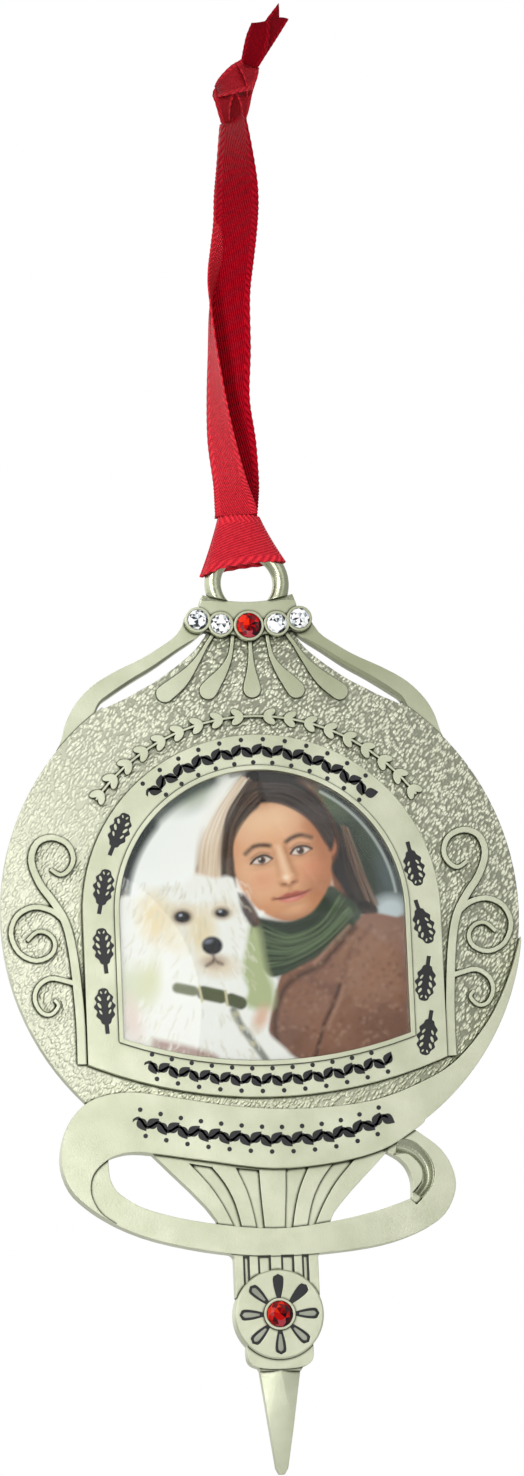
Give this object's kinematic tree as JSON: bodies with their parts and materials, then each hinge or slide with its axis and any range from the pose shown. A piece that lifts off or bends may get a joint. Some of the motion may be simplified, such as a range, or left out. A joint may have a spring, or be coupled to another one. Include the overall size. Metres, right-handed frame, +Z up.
{
  "type": "picture frame ornament",
  "caption": "Hanging cast metal bauble ornament with an arched window for a small picture, cut stones, a swirling band, a spike and a red ribbon.",
  "frame": {"origin": "the hanging point, between the two strands of the ribbon just below its knot", "axes": "+Z up as the ornament hangs, +X to the right of someone who faces its front, the front towards -Y"},
  "size_m": [0.0754, 0.0073, 0.2165],
  "materials": {
    "pewter": "antiqued cast pewter, satin",
    "clear_crystal": "cut and polished clear crystal",
    "red_crystal": "cut and polished red crystal",
    "window": "clear polished acrylic",
    "print": "glossy colour print on paper",
    "board": "black card",
    "ribbon": "red satin ribbon with stitched edges"
  },
  "bodies": {
    "root": {"cast_frame": "pewter", "crystal_left_outer": "clear_crystal", "crystal_left_inner": "clear_crystal", "red_stone_collar": "red_crystal", "crystal_right_inner": "clear_crystal", "crystal_right_outer": "clear_crystal", "red_stone_medallion": "red_crystal", "window_lens": "window", "photo_print": "print", "backing_board": "board", "ribbon_front_strand": "ribbon", "ribbon_back_strand": "ribbon", "ribbon_hitch": "ribbon", "ribbon_knot": "ribbon"}
  },
  "joints": []
}
